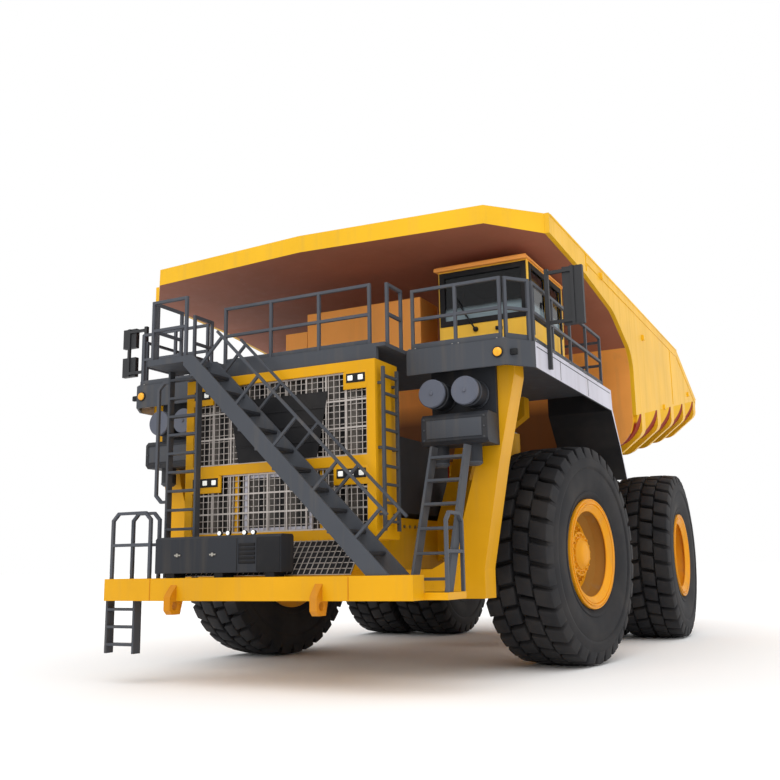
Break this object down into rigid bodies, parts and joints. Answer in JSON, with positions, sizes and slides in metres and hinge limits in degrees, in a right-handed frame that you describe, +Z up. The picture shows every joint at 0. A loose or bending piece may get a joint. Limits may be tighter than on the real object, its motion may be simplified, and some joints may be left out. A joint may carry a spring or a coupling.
{
  "type": "mining dump truck",
  "caption": "Rigid-frame mining dump truck with a tipping body and canopy, twin rear tyres, side cab on a railed deck, and a diagonal stair across the radiator.",
  "frame": {"origin": "on the ground, under the centre of the overall box", "axes": "+X to the truck's left (cab side), +Y to its rear, +Z up"},
  "size_m": [9.12, 16.8, 7.37],
  "materials": {
    "yellow_paint": "weathered gloss paint",
    "frame_paint": "dusty paint",
    "dark_grey_paint": "matte paint",
    "pale_grey_paint": "satin paint",
    "rubber_black": "dusty rubber",
    "flap_rubber": "matte",
    "rim_paint": "paint",
    "clear_glass": "clear",
    "lamp_glass": "clear lens",
    "bare_steel": "galvanised",
    "chrome_rod": "polished",
    "cast_grey": "rough",
    "seat_fabric": "woven",
    "black_plastic": "moulded"
  },
  "bodies": {
    "chassis": {"access_ladders": "dark_grey_paint", "air_cleaners": "dark_grey_paint", "body_pivot_pins": "chrome_rod", "cab_console": "black_plastic", "cab_end_walls": "yellow_paint", "cab_floor": "dark_grey_paint", "cab_glass": "clear_glass", "cab_roof": "yellow_paint", "cab_seat": "seat_fabric", "cab_side_walls": "yellow_paint", "control_cabinets": "yellow_paint", "deck_railings": "dark_grey_paint", "deck_supports": "yellow_paint", "engine": "cast_grey", "equipment_box": "dark_grey_paint", "frame_cross_members": "frame_paint", "frame_rail_left": "frame_paint", "frame_rail_right": "frame_paint", "front_bumper": "yellow_paint", "front_struts": "frame_paint", "fuel_tank": "yellow_paint", "grille_screens": "bare_steel", "handrails": "dark_grey_paint", "hydraulic_tank": "yellow_paint", "lamps": "lamp_glass", "main_stair": "dark_grey_paint", "mid_deck": "dark_grey_paint", "mirrors": "black_plastic", "mudguards": "flap_rubber", "radiator_core": "cast_grey", "radiator_surround": "yellow_paint", "rear_axle": "frame_paint", "rear_struts": "frame_paint", "side_decks": "pale_grey_paint"},
    "steer_left": {"steer_knuckle_left": "frame_paint"},
    "steer_right": {"steer_knuckle_right": "frame_paint"},
    "tie_rod": {"tie_rod": "frame_paint"},
    "wheel_front_left": {"front_tyre_left": "rubber_black", "front_rim_left": "rim_paint"},
    "wheel_front_right": {"front_tyre_right": "rubber_black", "front_rim_right": "rim_paint"},
    "wheels_rear_left": {"rear_tyres_left": "rubber_black", "rear_rims_left": "rim_paint"},
    "wheels_rear_right": {"rear_tyres_right": "rubber_black", "rear_rims_right": "rim_paint"},
    "dump_body": {"body_floor": "yellow_paint", "body_front": "yellow_paint", "body_canopy": "yellow_paint", "body_side_left": "yellow_paint", "body_side_right": "yellow_paint"},
    "door": {"cab_door": "yellow_paint", "cab_door_glass": "clear_glass"},
    "hoist_barrel_left": {"hoist_barrel_left": "frame_paint"},
    "hoist_stage_left": {"hoist_stage_left": "chrome_rod"},
    "hoist_rod_left": {"hoist_rod_left": "chrome_rod"},
    "hoist_barrel_right": {"hoist_barrel_right": "frame_paint"},
    "hoist_stage_right": {"hoist_stage_right": "chrome_rod"},
    "hoist_rod_right": {"hoist_rod_right": "chrome_rod"}
  },
  "joints": [
    {"name": "steer_left", "type": "hinge", "parent": "chassis", "child": "steer_left", "pos_m": [2.25, -2.9, 1.92], "axis": [0, 0, 1], "range_deg": [-27.57, 44.43]},
    {"name": "steer_right", "type": "hinge", "parent": "chassis", "child": "steer_right", "pos_m": [-2.25, -2.9, 1.92], "axis": [0, 0, 1], "range_deg": [-27.77, 44.63]},
    {"name": "tie_rod_swing", "type": "hinge", "parent": "steer_left", "child": "tie_rod", "pos_m": [2.35995, -2.1581, 1.345], "axis": [0, 0, 1], "range_deg": [-44.63, 27.77]},
    {"name": "spin_front_left", "type": "hinge", "parent": "steer_left", "child": "wheel_front_left", "pos_m": [3.23425, -3.04587, 1.92], "axis": [0.9892, -0.1466, 0], "continuous": true},
    {"name": "spin_front_right", "type": "hinge", "parent": "steer_right", "child": "wheel_front_right", "pos_m": [-3.23425, -2.75413, 1.92], "axis": [0.9892, -0.1466, 0], "continuous": true},
    {"name": "spin_rear_left", "type": "hinge", "parent": "chassis", "child": "wheels_rear_left", "pos_m": [2.84, 3.7, 1.92], "axis": [1, 0, 0], "continuous": true},
    {"name": "spin_rear_right", "type": "hinge", "parent": "chassis", "child": "wheels_rear_right", "pos_m": [-2.84, 3.7, 1.92], "axis": [1, 0, 0], "continuous": true},
    {"name": "dump_tilt", "type": "hinge", "parent": "chassis", "child": "dump_body", "pos_m": [0, 5.15, 3.95], "axis": [-1, 0, 0], "range_deg": [0, 45]},
    {"name": "hoist_swing_left", "type": "hinge", "parent": "chassis", "child": "hoist_barrel_left", "pos_m": [1.19, 1.7, 1.8], "axis": [-1, 0, 0], "range_deg": [-0.5, 17.21]},
    {"name": "hoist_stage_left", "type": "slide", "parent": "hoist_barrel_left", "child": "hoist_stage_left", "axis": [0, -0.0837, 0.9965], "range_m": [-0.002, 1.30838]},
    {"name": "hoist_rod_left", "type": "slide", "parent": "hoist_stage_left", "child": "hoist_rod_left", "axis": [0, -0.0837, 0.9965], "range_m": [-0.002, 1.30838]},
    {"name": "hoist_swing_right", "type": "hinge", "parent": "chassis", "child": "hoist_barrel_right", "pos_m": [-1.19, 1.7, 1.8], "axis": [-1, 0, 0], "range_deg": [-0.5, 17.21]},
    {"name": "hoist_stage_right", "type": "slide", "parent": "hoist_barrel_right", "child": "hoist_stage_right", "axis": [0, -0.0837, 0.9965], "range_m": [-0.002, 1.30838]},
    {"name": "hoist_rod_right", "type": "slide", "parent": "hoist_stage_right", "child": "hoist_rod_right", "axis": [0, -0.0837, 0.9965], "range_m": [-0.002, 1.30838]},
    {"name": "cab_door_swing", "type": "hinge", "parent": "chassis", "child": "door", "pos_m": [1.964, -4.16, 5.86], "axis": [0, 0, 1], "range_deg": [0, 90]}
  ],
  "couplings": [
    {"joint": "steer_right", "follows": "steer_left", "ratio": 1},
    {"joint": "tie_rod_swing", "follows": "steer_left", "ratio": -1},
    {"joint": "hoist_swing_left", "follows": "dump_tilt", "ratio": 0.3713},
    {"joint": "hoist_stage_left", "follows": "dump_tilt", "m_per_rad": 1.6633},
    {"joint": "hoist_rod_left", "follows": "dump_tilt", "m_per_rad": 1.6633},
    {"joint": "hoist_swing_right", "follows": "dump_tilt", "ratio": 0.3713},
    {"joint": "hoist_stage_right", "follows": "dump_tilt", "m_per_rad": 1.6633},
    {"joint": "hoist_rod_right", "follows": "dump_tilt", "m_per_rad": 1.6633}
  ]
}
